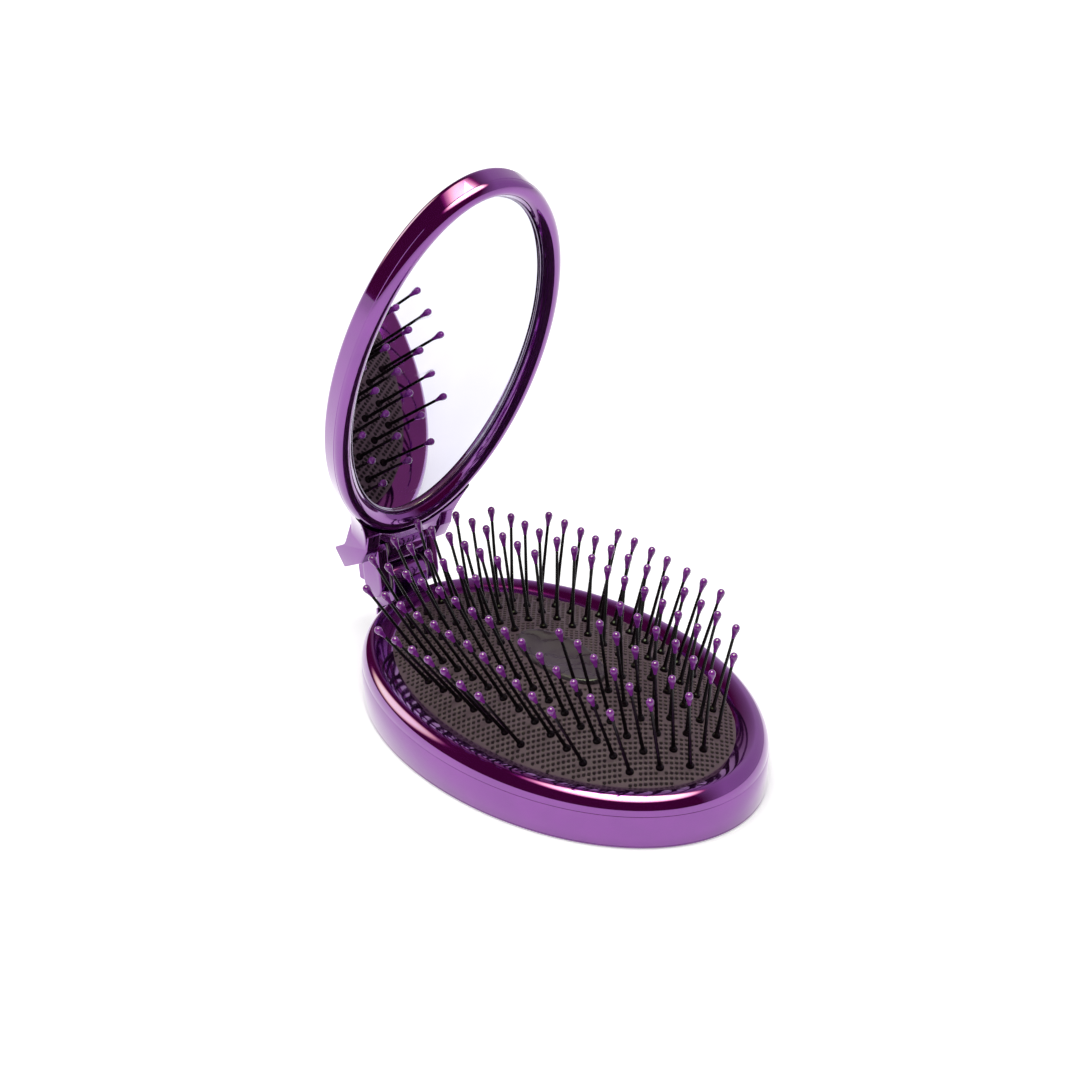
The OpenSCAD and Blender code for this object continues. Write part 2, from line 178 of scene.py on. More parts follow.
for name, place, size, power in (
        ("box_above", (0.02, -0.05, 0.75), 0.42, 2.6),
        ("box_left", (-0.3, -0.7, 0.5), 0.35, 0.95),
        ("box_back", (-0.75, 0.25, 0.5), 0.35, 0.85)):
    lamp = bpy.data.lights.new(name, "AREA")
    lamp.size = size
    lamp.energy = power
    light = bpy.data.objects.new(name, lamp)
    light.location = place
    light.rotation_euler = (view_centre - Vector(place)).to_track_quat("-Z", "Y").to_euler()
    light.visible_glossy = name == "box_above"
    bpy.context.scene.collection.objects.link(light)
bpy.context.scene.view_settings.view_transform = "Standard"

# ---- Shell of the brush half ----
# One plastic moulding, metallised and lacquered in glossy purple: a flat side wall, a crease, a rounded rim
# and a slope that runs in to the cushion. The hinge tail and the lower knuckle grow out of its end.
MM = 0.001
base_a, base_b = 48.0, 31.9
rim_h, rim_w, crease_h = 10.2, 6.3, 6.8
rim_crest = rim_w * 0.42
wall, cover_t = 1.5, 1.2
seam_z = 0.5                         # where the shell's wall ends over the edge of the bottom plate
cushion_edge_z, lip_z = 9.1, 6.85
hinge_x, hinge_z = -52.0, 10.8
knuckle_r, knuckle_w = 3.3, 8.3
tail_w, tail_h = 21.2, 5.0
pin_bore = 0.85
oval_steps = 256


def oval(a, b, inset=0.0):
    """Points round an oval with half axes a and b, moved inwards by inset everywhere."""
    points = []
    for i in range(oval_steps):
        turn = 2 * math.pi * i / oval_steps
        outwards = Vector((b * math.cos(turn), a * math.sin(turn))).normalized()
        points.append(Vector((a * math.cos(turn), b * math.sin(turn))) - inset * outwards)
    return points


def arc(cx, cy, rx, ry, start, end, steps):
    """Points on an arc between two angles in degrees."""
    turns = [math.radians(start + (end - start) * k / steps) for k in range(steps + 1)]
    return [(cx + rx * math.cos(t), cy + ry * math.sin(t)) for t in turns]


def rounded(corners, steps=5):
    """Closed outline from corners (x, y, radius), each turned into an arc of about that radius."""
    outline = []
    for i, (x, y, radius) in enumerate(corners):
        here = Vector((x, y))
        before = Vector(corners[i - 1][:2]) - here
        after = Vector(corners[(i + 1) % len(corners)][:2]) - here
        reach = min(radius / math.tan(before.angle(after) / 2), 0.48 * before.length, 0.48 * after.length)
        if reach < 1e-4:
            outline.append((x, y))
            continue
        start, end = here + before.normalized() * reach, here + after.normalized() * reach
        for k in range(steps + 1):
            t = k / steps
            outline.append(tuple(start.lerp(here, t).lerp(here.lerp(end, t), t)))
    return outline


def shade(mesh, crease=32):
    """Turns faces outwards, and shades them smooth except across edges sharper than crease."""
    work = bmesh.new()
    work.from_mesh(mesh)
    bmesh.ops.recalc_face_normals(work, faces=work.faces)
    for face in work.faces:
        face.smooth = True
    for edge in work.edges:
        edge.smooth = edge.calc_face_angle(0) < math.radians(crease)
    work.to_mesh(mesh)
    work.free()


def make_piece(name, points, faces, material, place=Matrix(), crease=32):
    """A mesh object from points in millimetres, set in place."""
    mesh = bpy.data.meshes.new(name)
    mesh.from_pydata([(place @ Vector(p)) * MM for p in points], [], faces)
    mesh.materials.append(material)
    shade(mesh, crease)
    piece = bpy.data.objects.new(name, mesh)
    bpy.context.scene.collection.objects.link(piece)
    return piece


def loft(name, rings, material, wrap=False, place=Matrix()):
    """Skins rings of equal count. The last ring joins the first, or both end rings are closed flat."""
    count = len(rings[0])
    points = [p for ring in rings for p in ring]
    faces = []
    for j in range(len(rings) - (0 if wrap else 1)):
        low, high = j * count, (j + 1) % len(rings) * count
        faces += [(low + i, low + (i + 1) % count, high + (i + 1) % count, high + i) for i in range(count)]
    if not wrap:
        faces += [tuple(range(count))[::-1], tuple(range(len(points) - count, len(points)))]
    return make_piece(name, points, faces, material, place)


def oval_sweep(name, a, b, profile, material, place=Matrix()):
    """A closed profile (outwards from the oval, height) swept round the oval."""
    rings = [[(p.x, p.y, z) for p in oval(a, b, -outwards)] for outwards, z in profile]
    return loft(name, rings, material, True, place)


def apply_modifiers(piece):
    """Puts what the modifiers make into the mesh itself."""
    graph = bpy.context.evaluated_depsgraph_get()
    mesh = bpy.data.meshes.new_from_object(piece.evaluated_get(graph), depsgraph=graph)
    piece.modifiers.clear()
    piece.data = mesh


def round_edges(piece, width, segments=3):
    """Rounds every sharp edge of a piece, and keeps its flat faces flat."""
    bevel = piece.modifiers.new("rounding", "BEVEL")
    bevel.width = width * MM
    bevel.segments = segments
    bevel.limit_method = "ANGLE"
    bevel.angle_limit = math.radians(38)
    bevel.harden_normals = True
    apply_modifiers(piece)


def combine(piece, other, operation):
    """Joins other to piece, or cuts it out, and removes other."""
    boolean = piece.modifiers.new("combine", "BOOLEAN")
    boolean.operation = operation
    boolean.object = other
    boolean.solver = "EXACT"
    apply_modifiers(piece)
    bpy.data.objects.remove(other)
    shade(piece.data)


def plate_along_y(name, outline, y0, y1, material, place=Matrix()):
    """An outline (x, z) carried from y0 to y1."""
    return loft(name, [[(x, y, z) for x, z in outline] for y in (y0, y1)], material, False, place)


# Marks of handling: broad soft smudges, and fine hairlines that all run about one way.
hairline_scale = 900.0
handling = bpy.data.node_groups.new("handling_marks", "ShaderNodeTree")
handling.interface.new_socket("Smudge Scale", in_out="INPUT", socket_type="NodeSocketFloat")
handling.interface.new_socket("Smudges", in_out="OUTPUT", socket_type="NodeSocketFloat")
handling.interface.new_socket("Hairlines", in_out="OUTPUT", socket_type="NodeSocketFloat")
where = add_node(handling, "ShaderNodeTexCoord").outputs["Object"]
given = add_node(handling, "NodeGroupInput")
smudge = add_node(handling, "ShaderNodeTexNoise", {"Vector": where, "Scale": given.outputs["Smudge Scale"],
                                                    "Detail": 4.0, "Roughness": 0.6})
smudge_mask = add_node(handling, "ShaderNodeMapRange",
                       {"Value": smudge.outputs[0], "From Min": 0.35, "From Max": 0.7})
streaks = add_node(handling, "ShaderNodeMapping", {"Vector": where, "Scale": (1.0, 0.06, 0.4),
                                                    "Rotation": (0.3, 0.5, 0.7)})
hairline = add_node(handling, "ShaderNodeTexNoise", {"Vector": streaks.outputs[0],
                                                      "Scale": hairline_scale, "Detail": 2.0})
hairline_mask = add_node(handling, "ShaderNodeMapRange",
                         {"Value": hairline.outputs[0], "From Min": 0.62, "From Max": 0.72})
given_back = add_node(handling, "NodeGroupOutput")
handling.links.new(smudge_mask.outputs[0], given_back.inputs["Smudges"])
handling.links.new(hairline_mask.outputs[0], given_back.inputs["Hairlines"])


def finish_material(name, dark, light, roughness, bump=0.04, smudge_scale=90.0, **constants):
    """A material whose colour, gloss and relief vary with handling marks. Other inputs are constants."""
    material, tree, shader = new_material(name)
    marks = add_node(tree, "ShaderNodeGroup", node_tree=handling)
    marks.inputs["Smudge Scale"].default_value = smudge_scale
    colour = add_node(tree, "ShaderNodeMix", data_type="RGBA")
    colour.inputs[6].default_value, colour.inputs[7].default_value = linear(dark), linear(light)
    tree.links.new(marks.outputs["Smudges"], colour.inputs[0])
    tree.links.new(colour.outputs[2], shader.inputs["Base Color"])
    gloss = add_node(tree, "ShaderNodeMapRange", {"Value": marks.outputs["Smudges"],
                                                  "To Min": roughness[0], "To Max": roughness[1]})
    scuffed = add_node(tree, "ShaderNodeMath", {0: marks.outputs["Hairlines"], 1: 0.05, 2: gloss.outputs[0]},
                       operation="MULTIPLY_ADD")
    tree.links.new(scuffed.outputs[0], shader.inputs["Roughness"])
    relief = add_node(tree, "ShaderNodeBump", {"Height": marks.outputs["Hairlines"], "Strength": bump,
                                               "Distance": 0.00002})
    tree.links.new(relief.outputs[0], shader.inputs["Normal"])
    for key, value in constants.items():
        shader.inputs[key.replace("_", " ")].default_value = value
    return material


purple_lacquer = finish_material("purple_lacquer", "77228C", "822796", (0.06, 0.1), Metallic=0.95,
                                 Coat_Weight=1.0, Coat_Roughness=0.03, Coat_IOR=1.8)

shell_profile = (
    [(-0.1, seam_z), (-0.03, seam_z + 0.03), (0, seam_z + 0.1), (0, crease_h - 0.06), (-0.03, crease_h)]
    + arc(-rim_crest, crease_h + 0.04, rim_crest - 0.05, rim_h - crease_h - 0.04, 0, 90, 18)
    + [(-rim_crest - (rim_w - rim_crest) * t / 14, rim_h - (rim_h - cushion_edge_z) * (t / 14) ** 1.5)
       for t in range(1, 15)]
    + [(-rim_w, lip_z), (-wall - 1.2, lip_z), (-wall, lip_z - 1.2), (-wall, cover_t), (-0.9, cover_t),
       (-0.9, seam_z)])
brush_shell = oval_sweep("brush_shell", base_a, base_b, shell_profile, purple_lacquer)
notch, above_all = 2.4, 20.0
notch_end = [(s * tail_w / 2, z) for s, z in ((-1, tail_h), (1, tail_h), (1, above_all), (-1, above_all))]
notch_box = loft("notch_box", [[(x, y, z) for y, z in notch_end] for x in (-base_a - 3, -base_a + notch)],
                 purple_lacquer)
combine(brush_shell, notch_box, "DIFFERENCE")


def plate_along_z(name, corners, z0, z1, material):
    """An outline of corners (x, y, radius) carried from z0 to z1."""
    outline = rounded(corners)
    return loft(name, [[(x, y, z) for x, y in outline] for z in (z0, z1)], material)


back_wall = plate_along_z("back_wall",
                          [(-base_a + notch - 0.15, s * tail_w / 2, 0) for s in (-1, 1)]
                          + [(-base_a + notch + 0.35, s * tail_w / 2, 0) for s in (1, -1)],
                          tail_h - 0.5, cushion_edge_z, purple_lacquer)
combine(brush_shell, back_wall, "UNION")
tip_x = hinge_x - knuckle_r
half_k = knuckle_w / 2
tongue = plate_along_z("tongue",
                       [(-base_a + wall + 1, tail_w / 2, 0), (-base_a + 0.6, tail_w / 2, 0.6),
                        (-base_a - 1.6, half_k, 2.4), (tip_x, half_k, 0.8),
                        (tip_x, -half_k, 0.8), (-base_a - 1.6, -half_k, 2.4),
                        (-base_a + 0.6, -tail_w / 2, 0.6), (-base_a + wall + 1, -tail_w / 2, 0)],
                       cover_t, tail_h, purple_lacquer)
round_edges(tongue, 0.35)
combine(brush_shell, tongue, "UNION")
knuckle = plate_along_y("knuckle", [(hinge_x + knuckle_r, tail_h - 0.5)]
                        + arc(hinge_x, hinge_z, knuckle_r, knuckle_r, 0, 180, 28)
                        + [(hinge_x - knuckle_r, tail_h - 0.5)], -half_k, half_k, purple_lacquer)
round_edges(knuckle, 0.35)
bore = plate_along_y("bore", arc(hinge_x, hinge_z, pin_bore, pin_bore, 0, 345, 23), -half_k - 1, half_k + 1,
                     purple_lacquer)
combine(knuckle, bore, "DIFFERENCE")
combine(brush_shell, knuckle, "UNION")
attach(brush_shell, "base")
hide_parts("base_shell")

# ---- Bottom plate ----
# A flat plastic plate that closes the brush half from below, pressed in until only its edge shows.
# Its seam is the fine line round the side wall.
cover_purple = finish_material("cover_purple", "6D207F", "772689", (0.08, 0.13), Metallic=0.92,
                               Coat_Weight=1.0, Coat_Roughness=0.04, Coat_IOR=1.8)
plate_edge = base_a - 0.05, base_b - 0.05
cover_rings = [[(p.x, p.y, z) for p in oval(*plate_edge, inset)]
               for inset, z in ((0.45, 0), (0.15, 0.06), (0, 0.22), (0, seam_z - 0.06), (0.06, seam_z - 0.02),
                               (0.95, seam_z - 0.02), (0.95, cover_t - 0.03))]
bottom_plate = loft("bottom_plate", cover_rings, cover_purple)
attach(bottom_plate, "base")
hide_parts("base_cover")

# ---- Cushion ----
# A domed sheet of mauve-grey rubber. Its face is moulded as a fine net of small ring-shaped pits, and is left
# plain round the foot of each pin. The edge runs in under the rim, where a flange clamps it.
crown = 6.6
dome_a, dome_b = base_a - rim_w, base_b - rim_w
dome_fullness = 1.7
sheet_t = 2.3
pit_r, pit_depth = 0.52, 0.4
pit_share = 0.86                      # of the way to its cell's edge that a pit reaches at most
pit_section = ((1.0, 0.0), (0.88, 0.45), (0.7, 1.0), (0.5, 0.85), (0.32, 0.35))   # shares of radius and depth
pit_middle = 0.2                      # share of the depth at the raised middle
cell_u, cell_v = Vector((0.5, 0.8)), Vector((1.0, -0.8))   # the steps from one pit to its neighbours
inlay_a, inlay_b = 11.6, 5.5
bare_a, bare_b = 14.0, 7.5            # no pin stands inside this oval
row_count = 9
pin_pitch, row_pitch, pin_margin, boss_r = 4.8, 5.1, 2.6, 1.25


def dome_z(x, y):
    """Height of the cushion's top at a point."""
    return cushion_edge_z + crown * max(0.0, 1 - math.hypot(x / dome_a, y / dome_b) ** dome_fullness)


def inside_oval(x, y, a, b):
    """Whether a point lies inside an oval with half axes a and b."""
    return (x / a) ** 2 + (y / b) ** 2 <= 1


def row_spots(row):
    """Where the pins of a row stand. Every second row is set half a pitch on."""
    y = (row - (row_count - 1) / 2) * row_pitch
    spots = [((step + row % 2 / 2) * pin_pitch, y) for step in range(-8, 9)]
    return [(x, y) for x, y in spots if inside_oval(x, y, dome_a - pin_margin, dome_b - pin_margin)
            and not inside_oval(x, y, bare_a, bare_b)]


cushion_rubber, tree, shader = new_material("cushion_rubber")
spot = add_node(tree, "ShaderNodeTexCoord").outputs["Object"]
cloud = add_node(tree, "ShaderNodeTexNoise", {"Vector": spot, "Scale": 70.0, "Detail": 5.0})
tone = add_node(tree, "ShaderNodeMix", data_type="RGBA")
tone.inputs[6].default_value, tone.inputs[7].default_value = linear("524148"), linear("65545C")
tree.links.new(cloud.outputs[0], tone.inputs[0])
# Painted shade: the pits are darkened towards a near-black mauve, the deeper the darker, as shade falls in
# them. How deep a spot lies under the dome tells them apart.
flattened = add_node(tree, "ShaderNodeMapping",
                     {"Vector": spot, "Scale": (1 / (dome_a * MM), 1 / (dome_b * MM), 0)})
from_middle = add_node(tree, "ShaderNodeVectorMath", {0: flattened.outputs[0]}, operation="LENGTH")
fall = add_node(tree, "ShaderNodeMath", {0: from_middle.outputs["Value"], 1: dome_fullness},
                operation="POWER")
skin = add_node(tree, "ShaderNodeMath",
                {0: fall.outputs[0], 1: -crown * MM, 2: (cushion_edge_z + crown) * MM},
                operation="MULTIPLY_ADD")
level_z = add_node(tree, "ShaderNodeSeparateXYZ", {0: spot})
sunk = add_node(tree, "ShaderNodeMath", {0: skin.outputs[0], 1: level_z.outputs["Z"]},
                operation="SUBTRACT")
pit_shade_mask = add_node(tree, "ShaderNodeMapRange",
                  {"Value": sunk.outputs[0], "From Min": 0.02 * MM, "From Max": 0.26 * MM})
painted_pit_shade = add_node(tree, "ShaderNodeMix", {0: pit_shade_mask.outputs[0], 6: tone.outputs[2]}, data_type="RGBA")
# The colour of the painted shade at the bottom of the pits.
painted_pit_shade.inputs[7].default_value = linear("2C2327")
tree.links.new(painted_pit_shade.outputs[2], shader.inputs["Base Color"])
matt = add_node(tree, "ShaderNodeMapRange", {"Value": cloud.outputs[0], "To Min": 0.42, "To Max": 0.56})
tree.links.new(matt.outputs[0], shader.inputs["Roughness"])
shader.inputs["Specular IOR Level"].default_value = 0.12
grain = add_node(tree, "ShaderNodeTexNoise", {"Vector": spot, "Scale": 2600.0, "Detail": 2.0})
grain_relief = add_node(tree, "ShaderNodeBump",
                        {"Height": grain.outputs[0], "Strength": 0.3, "Distance": 0.05 * MM})
tree.links.new(grain_relief.outputs[0], shader.inputs["Normal"])

feet = [spot for row in range(row_count) for spot in row_spots(row)]
reach = int(dome_a / 0.6)                # more cells than the dome needs, in each direction
cells = [(i, j) for i in range(-reach, reach) for j in range(-reach, reach)
         if inside_oval(*(i * cell_u + j * cell_v), dome_a + 0.9, dome_b + 0.9)]
around = ((-1, -1), (0, -1), (1, -1), (1, 0), (1, 1), (0, 1), (-1, 1), (-1, 0))   # a cell, in half steps
points, faces, known = [], [], {}


def net_point(i, j, under):
    """Number of a point of the net, given in half steps, on the face or on the underside."""
    if (i, j, under) not in known:
        known[i, j, under] = len(points)
        x, y = (i * cell_u + j * cell_v) / 2
        points.append((x, y, dome_z(x, y) - sheet_t * under))
    return known[i, j, under]


filled = set(cells)
for i, j in cells:
    x, y = i * cell_u + j * cell_v
    rim = [net_point(2 * i + di, 2 * j + dj, 0) for di, dj in around]
    faces.append(tuple(net_point(2 * i + di, 2 * j + dj, 1) for di, dj in around)[::-1])
    for side, beside in enumerate(((0, -1), (1, 0), (0, 1), (-1, 0))):
        if (i + beside[0], j + beside[1]) in filled:
            continue
        for k in (2 * side, 2 * side + 1):
            (ai, aj), (bi, bj) = around[k], around[(k + 1) % 8]
            faces.append((net_point(2 * i + ai, 2 * j + aj, 0), net_point(2 * i + bi, 2 * j + bj, 0),
                          net_point(2 * i + bi, 2 * j + bj, 1), net_point(2 * i + ai, 2 * j + aj, 1)))
    if (not inside_oval(x, y, dome_a - 0.5, dome_b - 0.5) or inside_oval(x, y, inlay_a + 0.4, inlay_b + 0.4)
            or any((x - fx) ** 2 + (y - fy) ** 2 < boss_r ** 2 for fx, fy in feet)):
        faces.append(tuple(rim))
        continue
    for share, depth in pit_section:
        ring = []
        for at in rim:
            out = Vector(points[at][:2]) - Vector((x, y))
            out *= min(pit_share, pit_r / out.length) * share
            ring.append(len(points))
            points.append((x + out.x, y + out.y, dome_z(x + out.x, y + out.y) - pit_depth * depth))
        faces += [(rim[k], rim[(k + 1) % 8], ring[(k + 1) % 8], ring[k]) for k in range(8)]
        rim = ring
    points.append((x, y, dome_z(x, y) - pit_depth * pit_middle))
    faces += [(rim[k], rim[(k + 1) % 8], len(points) - 1) for k in range(8)]
first = len(points)
flange = [(3.0, lip_z - 0.05), (3.0, lip_z - 1.15),
          (rim_w + 0.04, lip_z - 1.15), (rim_w + 0.04, lip_z - 0.05)]
points += [(p.x, p.y, z) for inset, z in flange for p in oval(base_a, base_b, inset)]
for j in range(len(flange)):
    low, high = first + j * oval_steps, first + (j + 1) % len(flange) * oval_steps
    faces += [(low + k, low + (k + 1) % oval_steps, high + (k + 1) % oval_steps, high + k)
              for k in range(oval_steps)]
cushion = make_piece("cushion", points, faces, cushion_rubber, crease=60)
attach(cushion, "base")
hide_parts("cushion_pad")
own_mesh(cushion)

# ---- Smooth oval in the cushion ----
# A plain disc of firmer rubber let into the top of the dome. Its face is faintly scratched in arcs, and its
# edge is eased.
inlay_top = dome_z(0, 0) + 0.3
inlay_rubber, tree, shader = new_material("inlay_rubber")
spot = add_node(tree, "ShaderNodeTexCoord").outputs["Object"]
bent = add_node(tree, "ShaderNodeMapping", {"Vector": spot, "Location": (0.02, -0.02, 0)})
arcs = add_node(tree, "ShaderNodeTexWave", {"Vector": bent.outputs[0], "Scale": 90.0, "Distortion": 14.0,
                                            "Detail": 5.0, "Detail Scale": 1.2}, wave_type="RINGS",
                rings_direction="Z")
tone = add_node(tree, "ShaderNodeMix", data_type="RGBA")
tone.inputs[6].default_value, tone.inputs[7].default_value = linear("2F272B"), linear("3D3539")
tree.links.new(arcs.outputs["Fac"], tone.inputs[0])
tree.links.new(tone.outputs[2], shader.inputs["Base Color"])
sheen = add_node(tree, "ShaderNodeMapRange", {"Value": arcs.outputs["Fac"], "To Min": 0.26, "To Max": 0.4})
tree.links.new(sheen.outputs[0], shader.inputs["Roughness"])
arc_relief = add_node(tree, "ShaderNodeBump",
                      {"Height": arcs.outputs["Fac"], "Strength": 0.25, "Distance": 0.06 * MM})
tree.links.new(arc_relief.outputs[0], shader.inputs["Normal"])
inlay = loft("inlay", [[(p.x, p.y, z) for p in oval(inlay_a, inlay_b, inset)]
                       for inset, z in ((0, inlay_top - 1), (0, inlay_top - 0.3), (0.08, inlay_top - 0.12),
                                        (0.3, inlay_top), (0.9, inlay_top - 0.02), (1.1, inlay_top - 0.12))],
             inlay_rubber)
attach(inlay, "base")
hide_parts("cushion_inlay")
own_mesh(inlay)

# ---- Bristle pins and tips ----
# Each pin is near-black nylon: a slim shaft that grows out of a ball collar on the cushion. Its tip is a
# purple drop, moulded on. The nine rows fan out from the middle, and the whole bed leans a little to one
# side.
pin_len, pin_r, collar_r = 19.6, 0.37, 0.8
tip_r, tip_len = 0.77, 2.9
bed_edge_z, bed_crown = 8.05, 3.6     # a flatter dome, from which the pins have their length and their fan
splay_along, splay_across = 1.4, 2.5
lean_back, lean_side, lean_jitter = 0.08, 0.14, 0.022
pin_sides = 14
bristle_nylon = finish_material("bristle_nylon", "050304", "0D090B", (0.2, 0.3), smudge_scale=400.0,
                                 Specular_IOR_Level=0.22)
tip_purple = finish_material("tip_purple", "762186", "852B95", (0.16, 0.24), smudge_scale=500.0,
                             Coat_Weight=0.6, Coat_Roughness=0.06)


def lathe_into(points, faces, profile, place):
    """Adds one turned form, from its profile (radius, height), to points and faces."""
    first = len(points)
    for radius, z in profile:
        points += [tuple(place @ Vector((radius * math.cos(2 * math.pi * s / pin_sides),
                                         radius * math.sin(2 * math.pi * s / pin_sides), z)))
                   for s in range(pin_sides)]
    for j in range(len(profile) - 1):
        low, high = first + j * pin_sides, first + (j + 1) * pin_sides
        faces += [(low + s, low + (s + 1) % pin_sides, high + (s + 1) % pin_sides, high + s)
                  for s in range(pin_sides)]
    faces.append(tuple(first + s for s in range(pin_sides))[::-1])
    faces.append(tuple(len(points) - pin_sides + s for s in range(pin_sides)))


foot_depth = 3.0
tip_profile = ([(pin_r - 0.08, 0), (pin_r - 0.02, 0.05), (pin_r + 0.04, tip_len * 0.2),
                (tip_r * 0.72, tip_len * 0.42), (tip_r * 0.92, tip_len * 0.58)]
               + arc(0, tip_len - tip_r, tip_r * 0.97, tip_r, 4, 84, 9))


def shaft_profile(length):
    """A pin from its foot to where its tip begins."""
    return ([(1.1, -foot_depth - 0.5), (1.1, -foot_depth), (pin_r, -foot_depth), (pin_r, -0.4)]
            + arc(0, collar_r * 0.2, collar_r, collar_r, -50, 50, 8)
            + [(pin_r + 0.1, collar_r * 1.15), (pin_r, collar_r * 1.6), (pin_r - 0.05, length * 0.4),
               (pin_r - 0.08, length - tip_len)])


jitter = random.Random(7)
for row in range(row_count):
    pins, tips = ([], []), ([], [])
    for x, y in row_spots(row):
        slope = Vector((2 * bed_crown * x / dome_a ** 2 * splay_along - lean_back
                        + jitter.uniform(-lean_jitter, lean_jitter),
                        2 * bed_crown * y / dome_b ** 2 * splay_across - lean_side
                        + jitter.uniform(-lean_jitter, lean_jitter)))
        stand = (Matrix.Translation((x, y, dome_z(x, y)))
                 @ Matrix.Rotation(math.atan2(slope.y, slope.x), 4, "Z")
                 @ Matrix.Rotation(math.atan(slope.length), 4, "Y"))
        bed_z = bed_edge_z + bed_crown * (1 - (x / dome_a) ** 2 - (y / dome_b) ** 2)
        length = pin_len - (dome_z(x, y) - bed_z) * math.hypot(1, slope.length)
        lathe_into(*pins, shaft_profile(length), stand)
        lathe_into(*tips, tip_profile, stand @ Matrix.Translation((0, 0, length - tip_len)))
    for kind, (points, faces), material, slot in (("pin", pins, bristle_nylon, "bristle_nylon"),
                                                  ("tip", tips, tip_purple, "tip_plastic")):
        piece = make_piece(f"{kind}s_{row + 1}", points, faces, material, crease=45)
        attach(piece, "base")
        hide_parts(f"{kind}_row_{row + 1}")
        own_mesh(piece)

# ---- Hinge link ----
# A double-ended link of the same purple plastic: two ears, and a web behind that joins them. It turns on the
# brush half's pin and carries the lid's pin, so that the lid can lie flat over the bristles.
link_lean = math.radians(8.1)
link_len = 7.0
ear_r = knuckle_r - 0.2
ear_in = half_k + 0.45
ear_t = 2.4
ear_out = ear_in + ear_t
upper_x, upper_z = hinge_x - link_len * math.sin(link_lean), hinge_z + link_len * math.cos(link_lean)
on_link = Matrix.Translation((hinge_x, 0, hinge_z)) @ Matrix.Rotation(-link_lean, 4, "Y")
capsule = arc(0, 0, ear_r, ear_r, 180, 360, 24) + arc(0, link_len, ear_r, ear_r, 0, 180, 24)
hinge_link = None
for side in (-1, 1):
    y0, y1 = sorted((side * ear_in, side * (ear_out + 0.12)))
    ear = plate_along_y("ear", capsule, y0, y1, purple_lacquer, on_link)
    round_edges(ear, 0.45, 4)
    if hinge_link is None:
        hinge_link = ear
    else:
        combine(hinge_link, ear, "UNION")
web_x, web_t, web_top = -knuckle_r - 1.2, 0.9, link_len - 3.6
web = plate_along_y("web", rounded([(web_x, 0, 0.4), (web_x + web_t, 0, 0.2), (web_x + web_t, web_top, 0.2),
                                    (web_x, web_top, 0.4)]), -ear_in - 0.5, ear_in + 0.5,
                    purple_lacquer, on_link)
combine(hinge_link, web, "UNION")
for side in (-1, 1):
    y0, y1 = sorted((side * ear_in, side * ear_out))
    root = plate_along_y("root", rounded([(web_x, 0, 0.4), (-1.2, 0, 0), (-1.2, web_top, 0),
                                          (web_x, web_top, 0.4)]), y0, y1, purple_lacquer, on_link)
    combine(hinge_link, root, "UNION")
hinge_link.name = "link"
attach(hinge_link, "link")
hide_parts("hinge_link")

# ---- Hinge pins and washers ----
# Plain drawn wire, pressed into the ears, and thin nylon washers between ear and knuckle that hold the lid
# where it is put. Both stay as the CAD has them, and get their finish here.
pin_steel = finish_material("pin_steel", "B9BABD", "CDCED2", (0.24, 0.36), Metallic=1.0, smudge_scale=600.0)
washer_nylon = finish_material("washer_nylon", "CFCBC4", "E2DFD9", (0.4, 0.52), smudge_scale=700.0)
for node in ("base_hinge_pin", "lid_hinge_pin"):
    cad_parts[node].data.materials[0] = pin_steel
for node in ("base_hinge_washers", "lid_hinge_washers"):
    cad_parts[node].data.materials[0] = washer_nylon

# ---- Back shell of the lid ----
# A second lacquered moulding: the side wall and the gently crowned back, the neck that draws in to the
# hinge, and a cheek at each side of the link whose heel stands out behind.
open_angle = math.radians(70.2)
lid_a, lid_b, lid_t = 44.1, 24.4, 6.6
lid_crease = 1.8
pivot_x, pivot_z = -lid_a - 5.3, 2.6
on_lid = (Matrix.Translation((upper_x, 0, upper_z)) @ Matrix.Rotation(-open_angle, 4, "Y")
          @ Matrix.Translation((-pivot_x, 0, -pivot_z)))
back_profile = [(-wall, lid_crease), (-0.12, lid_crease), (0, lid_crease + 0.12), (0, lid_t - 2)]
back_profile += arc(-1.9, lid_t - 2, 1.9, 1.6, 8, 84, 10)
back_rings = [[(p.x, p.y, z) for p in oval(lid_a, lid_b, -outwards)] for outwards, z in back_profile]
inner = oval(lid_a, lid_b, 2.4)
back_rings += [[(p.x * k, p.y * k, lid_t - 0.32 + 0.3 * (1 - k * k)) for p in inner]
               for k in (1, 0.9, 0.75, 0.6, 0.45, 0.3, 0.15)]
back_rings = [[(p.x, p.y, lid_t - wall) for p in oval(lid_a, lid_b, 3.4)],
              [(p.x, p.y, lid_t - wall - 1.4) for p in oval(lid_a, lid_b, wall)]] + back_rings
lid_shell = loft("lid_shell", back_rings, purple_lacquer, False, on_lid)

ear_gap = 0.3
cheek_in = ear_out + ear_gap
cheek_t = 3.0
cheek_out = cheek_in + cheek_t
neck_root = -lid_a + 10
neck_stop = pivot_x + knuckle_r + ear_gap
root_w = lid_b * math.sqrt(1 - (neck_root / lid_a) ** 2) - 0.4
neck_front, neck_back = 0.3, lid_t - 0.35


def neck_half_width(t):
    """Half the neck's width, t of the way from the oval to the hinge."""
    return cheek_out + (root_w - cheek_out) * (1 - t) ** 1.6


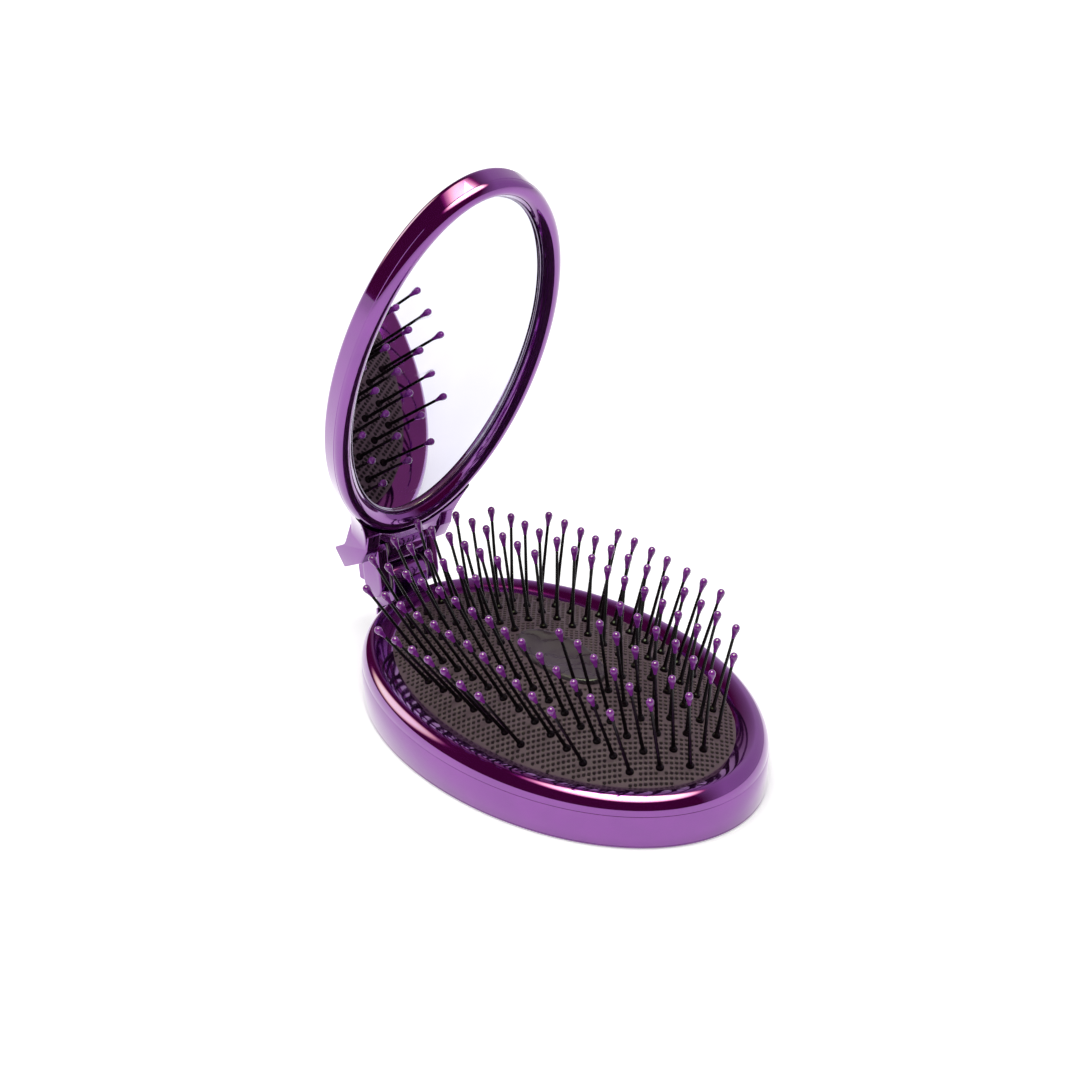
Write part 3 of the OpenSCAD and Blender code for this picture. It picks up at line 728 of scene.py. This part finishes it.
neck_rings = []
for k in range(15):
    t = k / 14
    x = neck_root + (neck_stop - neck_root) * t
    w = neck_half_width(t)
    neck_rings.append([(x, y, z) for y, z in rounded([(-w, neck_front, 0.3), (w, neck_front, 0.3),
                                                      (w, neck_back, 1.3), (-w, neck_back, 1.3)], 6)])
neck = loft("neck", neck_rings, purple_lacquer, False, on_lid)
seat_z = lid_crease + 0.02
seat = loft("seat", [[(p.x, p.y, z) for p in oval(lid_a, lid_b, inset)]
                     for inset, z in ((-0.06, -2), (-0.06, seat_z), (2.2, seat_z), (2.2, lid_t - 1.2))],
            purple_lacquer, False, on_lid)
combine(neck, seat, "DIFFERENCE")
combine(lid_shell, neck, "UNION")
arm = plate_along_y("arm", [(-lid_a - 0.2, 1.4), (pivot_x + knuckle_r * 0.93, 1.4)]
                    + arc(pivot_x, pivot_z, knuckle_r, knuckle_r, -21, -313, 36)
                    + [(-lid_a - 0.2, 5.0)], -half_k, half_k, purple_lacquer, on_lid)
round_edges(arm, 0.3)
combine(lid_shell, arm, "UNION")
for side in (-1, 1):
    y0, y1 = sorted((side * cheek_in, side * cheek_out))
    cheek = plate_along_y("cheek", rounded(
        [(-lid_a + 1.8, neck_back, 0), (-lid_a + 1.8, 0.2, 0.3), (pivot_x + 3.9, -0.3, 0.8),
         (pivot_x - 0.3, pivot_z - 2.1, 1.2), (pivot_x - 5.5, pivot_z + 2.4, 0.4),
         (pivot_x - 3.6, pivot_z + 6.6, 0.4), (pivot_x - 0.4, pivot_z + 4.0, 3.0)], 8),
        y0, y1, purple_lacquer, on_lid)
    round_edges(cheek, 0.3)
    combine(lid_shell, cheek, "UNION")
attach(lid_shell, "lid")
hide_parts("lid_shell")

# ---- Ring round the mirror ----
# A separate rounded ring of the same lacquered plastic, snapped into the lid. It holds the glass by its
# inner lip.
ring_w, recess = 3.8, 2.4
ring_crest = ring_w * 0.45
ring_profile = (arc(-ring_crest, lid_crease, ring_crest - 0.06, lid_crease, 360, 270, 14)
                + [(-ring_crest - (ring_w - ring_crest - 0.1) * k / 10, recess * 0.55 * (k / 10) ** 2)
                   for k in range(1, 11)]
                + [(-ring_w, recess * 0.6), (-ring_w, recess), (-wall - 0.1, recess),
                   (-wall - 0.1, lid_crease), (-0.2, lid_crease)])
mirror_ring = oval_sweep("mirror_ring", lid_a, lid_b, ring_profile, purple_lacquer, on_lid)
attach(mirror_ring, "lid")
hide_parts("lid_ring")

# ---- Bright trim ----
# A thin chromed bead between the ring and the glass.
bezel_w = 0.7
bezel_chrome = finish_material("bezel_chrome", "8E8699", "A59CB0", (0.06, 0.14), Metallic=1.0,
                               smudge_scale=500.0)
bead = (arc(-ring_w - bezel_w / 2, recess - 0.2, bezel_w / 2, 0.25, 0, -180, 8)
        + [(-ring_w - bezel_w, recess), (-ring_w, recess)])
trim = oval_sweep("mirror_trim", lid_a, lid_b, bead, bezel_chrome, on_lid)
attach(trim, "lid")
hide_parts("mirror_bezel")

# ---- Mirror ----
# Oval glass, silvered behind. Faint smudges show only in its gloss.
silvered = finish_material("silvered_glass", "EAEAF6", "F2F2FA", (0.004, 0.02), bump=0.0,
                           smudge_scale=60.0, Metallic=1.0)
glass_in = ring_w - 0.8
mirror = loft("mirror", [[(p.x, p.y, z) for p in oval(lid_a, lid_b, glass_in + inset)]
                         for inset, z in ((0, recess + 1.5), (0, recess + 0.03), (0.03, recess + 0.01))],
              silvered, False, on_lid)
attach(mirror, "lid")
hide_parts("mirror_glass")

# ---- Parts that stay inside ----
# The clamping ring and the backing sheet under the cushion, and the foam behind the glass, as the CAD has
# them.
inner_plastic = finish_material("inner_plastic", "2A252E", "332D38", (0.5, 0.65))
backing_sheet = finish_material("backing_sheet", "1F1A1E", "29232A", (0.6, 0.75), smudge_scale=300.0)
backing_foam = finish_material("backing_foam", "CFC7B6", "DCD5C6", (0.8, 0.95), smudge_scale=900.0)
for node, material in (("cushion_retainer", inner_plastic), ("cushion_backing", backing_sheet),
                       ("mirror_backing", backing_foam)):
    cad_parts[node].data.materials[0] = material
